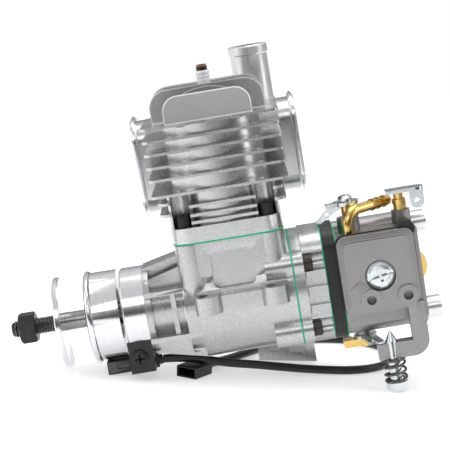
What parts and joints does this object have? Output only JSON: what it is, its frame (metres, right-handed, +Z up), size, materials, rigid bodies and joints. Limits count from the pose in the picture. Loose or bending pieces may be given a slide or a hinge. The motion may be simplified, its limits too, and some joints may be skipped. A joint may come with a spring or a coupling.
{
  "type": "model aircraft engine",
  "caption": "Small two-stroke petrol engine with finned cylinder, silencer, diaphragm carburettor, propeller shaft and ignition sensor on a cable.",
  "frame": {"origin": "crossing of the crank axis and the cylinder axis, the middle of the mounting lugs' bolt pattern", "axes": "+X along the crank axis to the carburettor, +Y to the silencer, +Z up the cylinder"},
  "size_m": [0.1508, 0.0786, 0.1234],
  "materials": {
    "blasted_casting": "bead blasted casting",
    "cylinder_casting": "fine cast, slightly bright",
    "machined_alloy": "turned, satin",
    "shaft_steel": "ground steel",
    "bearing_steel": "ground steel",
    "black_oxide": "black oxide",
    "brown_screws": "brown-black oxide",
    "zinc_plate": "bluish zinc plate",
    "silver_screws": "satin plated",
    "brass": "bright brass",
    "copper_cap": "dull copper",
    "white_ceramic": "glazed ceramic",
    "green_gasket": "coated paper",
    "black_plastic": "moulded, matt",
    "black_rubber": "smooth",
    "carb_casting": "grey die casting, satin",
    "dark_spring": "spring wire"
  },
  "bodies": {
    "engine": {"crankcase": "blasted_casting", "nose_ring": "machined_alloy", "bearing_races": "bearing_steel", "bearing_ball_sets": "bearing_steel", "cylinder_body": "cylinder_casting", "cylinder_gasket": "green_gasket", "cylinder_screws": "black_oxide", "plug_shell": "zinc_plate", "plug_washer": "brass", "plug_insulator": "white_ceramic", "plug_terminal": "copper_cap", "silencer_body": "cylinder_casting", "silencer_caps": "machined_alloy", "exhaust_pipe": "machined_alloy", "exhaust_gasket": "green_gasket", "rear_gasket": "green_gasket", "rear_cover": "blasted_casting", "intake_manifold": "blasted_casting", "reed_block": "black_plastic", "manifold_screws": "brown_screws", "insulator_gaskets": "green_gasket", "insulator_block": "black_plastic", "carb_body": "carb_casting", "pump_gasket": "black_rubber", "pump_cover": "carb_casting", "pump_cover_screw": "zinc_plate", "metering_cover": "carb_casting", "metering_gasket": "black_rubber", "metering_screws": "zinc_plate", "carb_screws": "silver_screws", "fuel_elbow": "brass", "screen_cap": "black_plastic", "throttle_spring": "zinc_plate", "idle_spring": "dark_spring", "sensor_bracket": "black_plastic", "sensor_screw": "black_oxide", "sensor_body": "black_plastic", "sensor_cable": "black_rubber", "cable_plug": "black_plastic"},
    "crank": {"crankshaft": "shaft_steel", "prop_hub": "machined_alloy", "hub_magnet": "shaft_steel", "prop_nut": "black_oxide", "bearing_inners": "bearing_steel"},
    "loose_washer": {"prop_washer": "machined_alloy"},
    "piston_body": {"piston": "machined_alloy", "piston_ring": "bearing_steel", "gudgeon_pin": "bearing_steel"},
    "rod_body": {"con_rod": "shaft_steel", "crank_pin": "bearing_steel"},
    "throttle": {"throttle_shaft": "brass", "throttle_plate": "brass", "throttle_arm": "zinc_plate", "throttle_arm_screw": "zinc_plate", "throttle_stop_lever": "zinc_plate"},
    "choke": {"choke_shaft": "brass", "choke_plate": "brass", "choke_lever": "zinc_plate"},
    "idle": {"idle_screw": "zinc_plate"}
  },
  "joints": [
    {"name": "crank_spin", "type": "hinge", "parent": "engine", "child": "crank", "pos_m": [0, 0, 0], "axis": [1, 0, 0], "continuous": true},
    {"name": "washer_slide", "type": "slide", "parent": "crank", "child": "loose_washer", "axis": [1, 0, 0], "range_m": [-0.0083, 0.0087]},
    {"name": "piston_slide", "type": "slide", "parent": "engine", "child": "piston_body", "axis": [0, 0, 1], "range_m": [-0.0188, 0]},
    {"name": "rod_swing", "type": "hinge", "parent": "piston_body", "child": "rod_body", "pos_m": [0, 0, 0.0474], "axis": [1, 0, 0], "range_deg": [-14.3, 14.3]},
    {"name": "throttle_turn", "type": "hinge", "parent": "engine", "child": "throttle", "pos_m": [0.0418, 0, 0], "axis": [0, 0, 1], "range_deg": [-75, 0]},
    {"name": "choke_turn", "type": "hinge", "parent": "engine", "child": "choke", "pos_m": [0.0604, 0, 0], "axis": [0, 0, 1], "range_deg": [0, 85]},
    {"name": "idle_turn", "type": "hinge", "parent": "engine", "child": "idle", "pos_m": [0.0492, -0.0178, -0.028], "axis": [0, 0, 1], "range_deg": [-180, 180]}
  ]
}
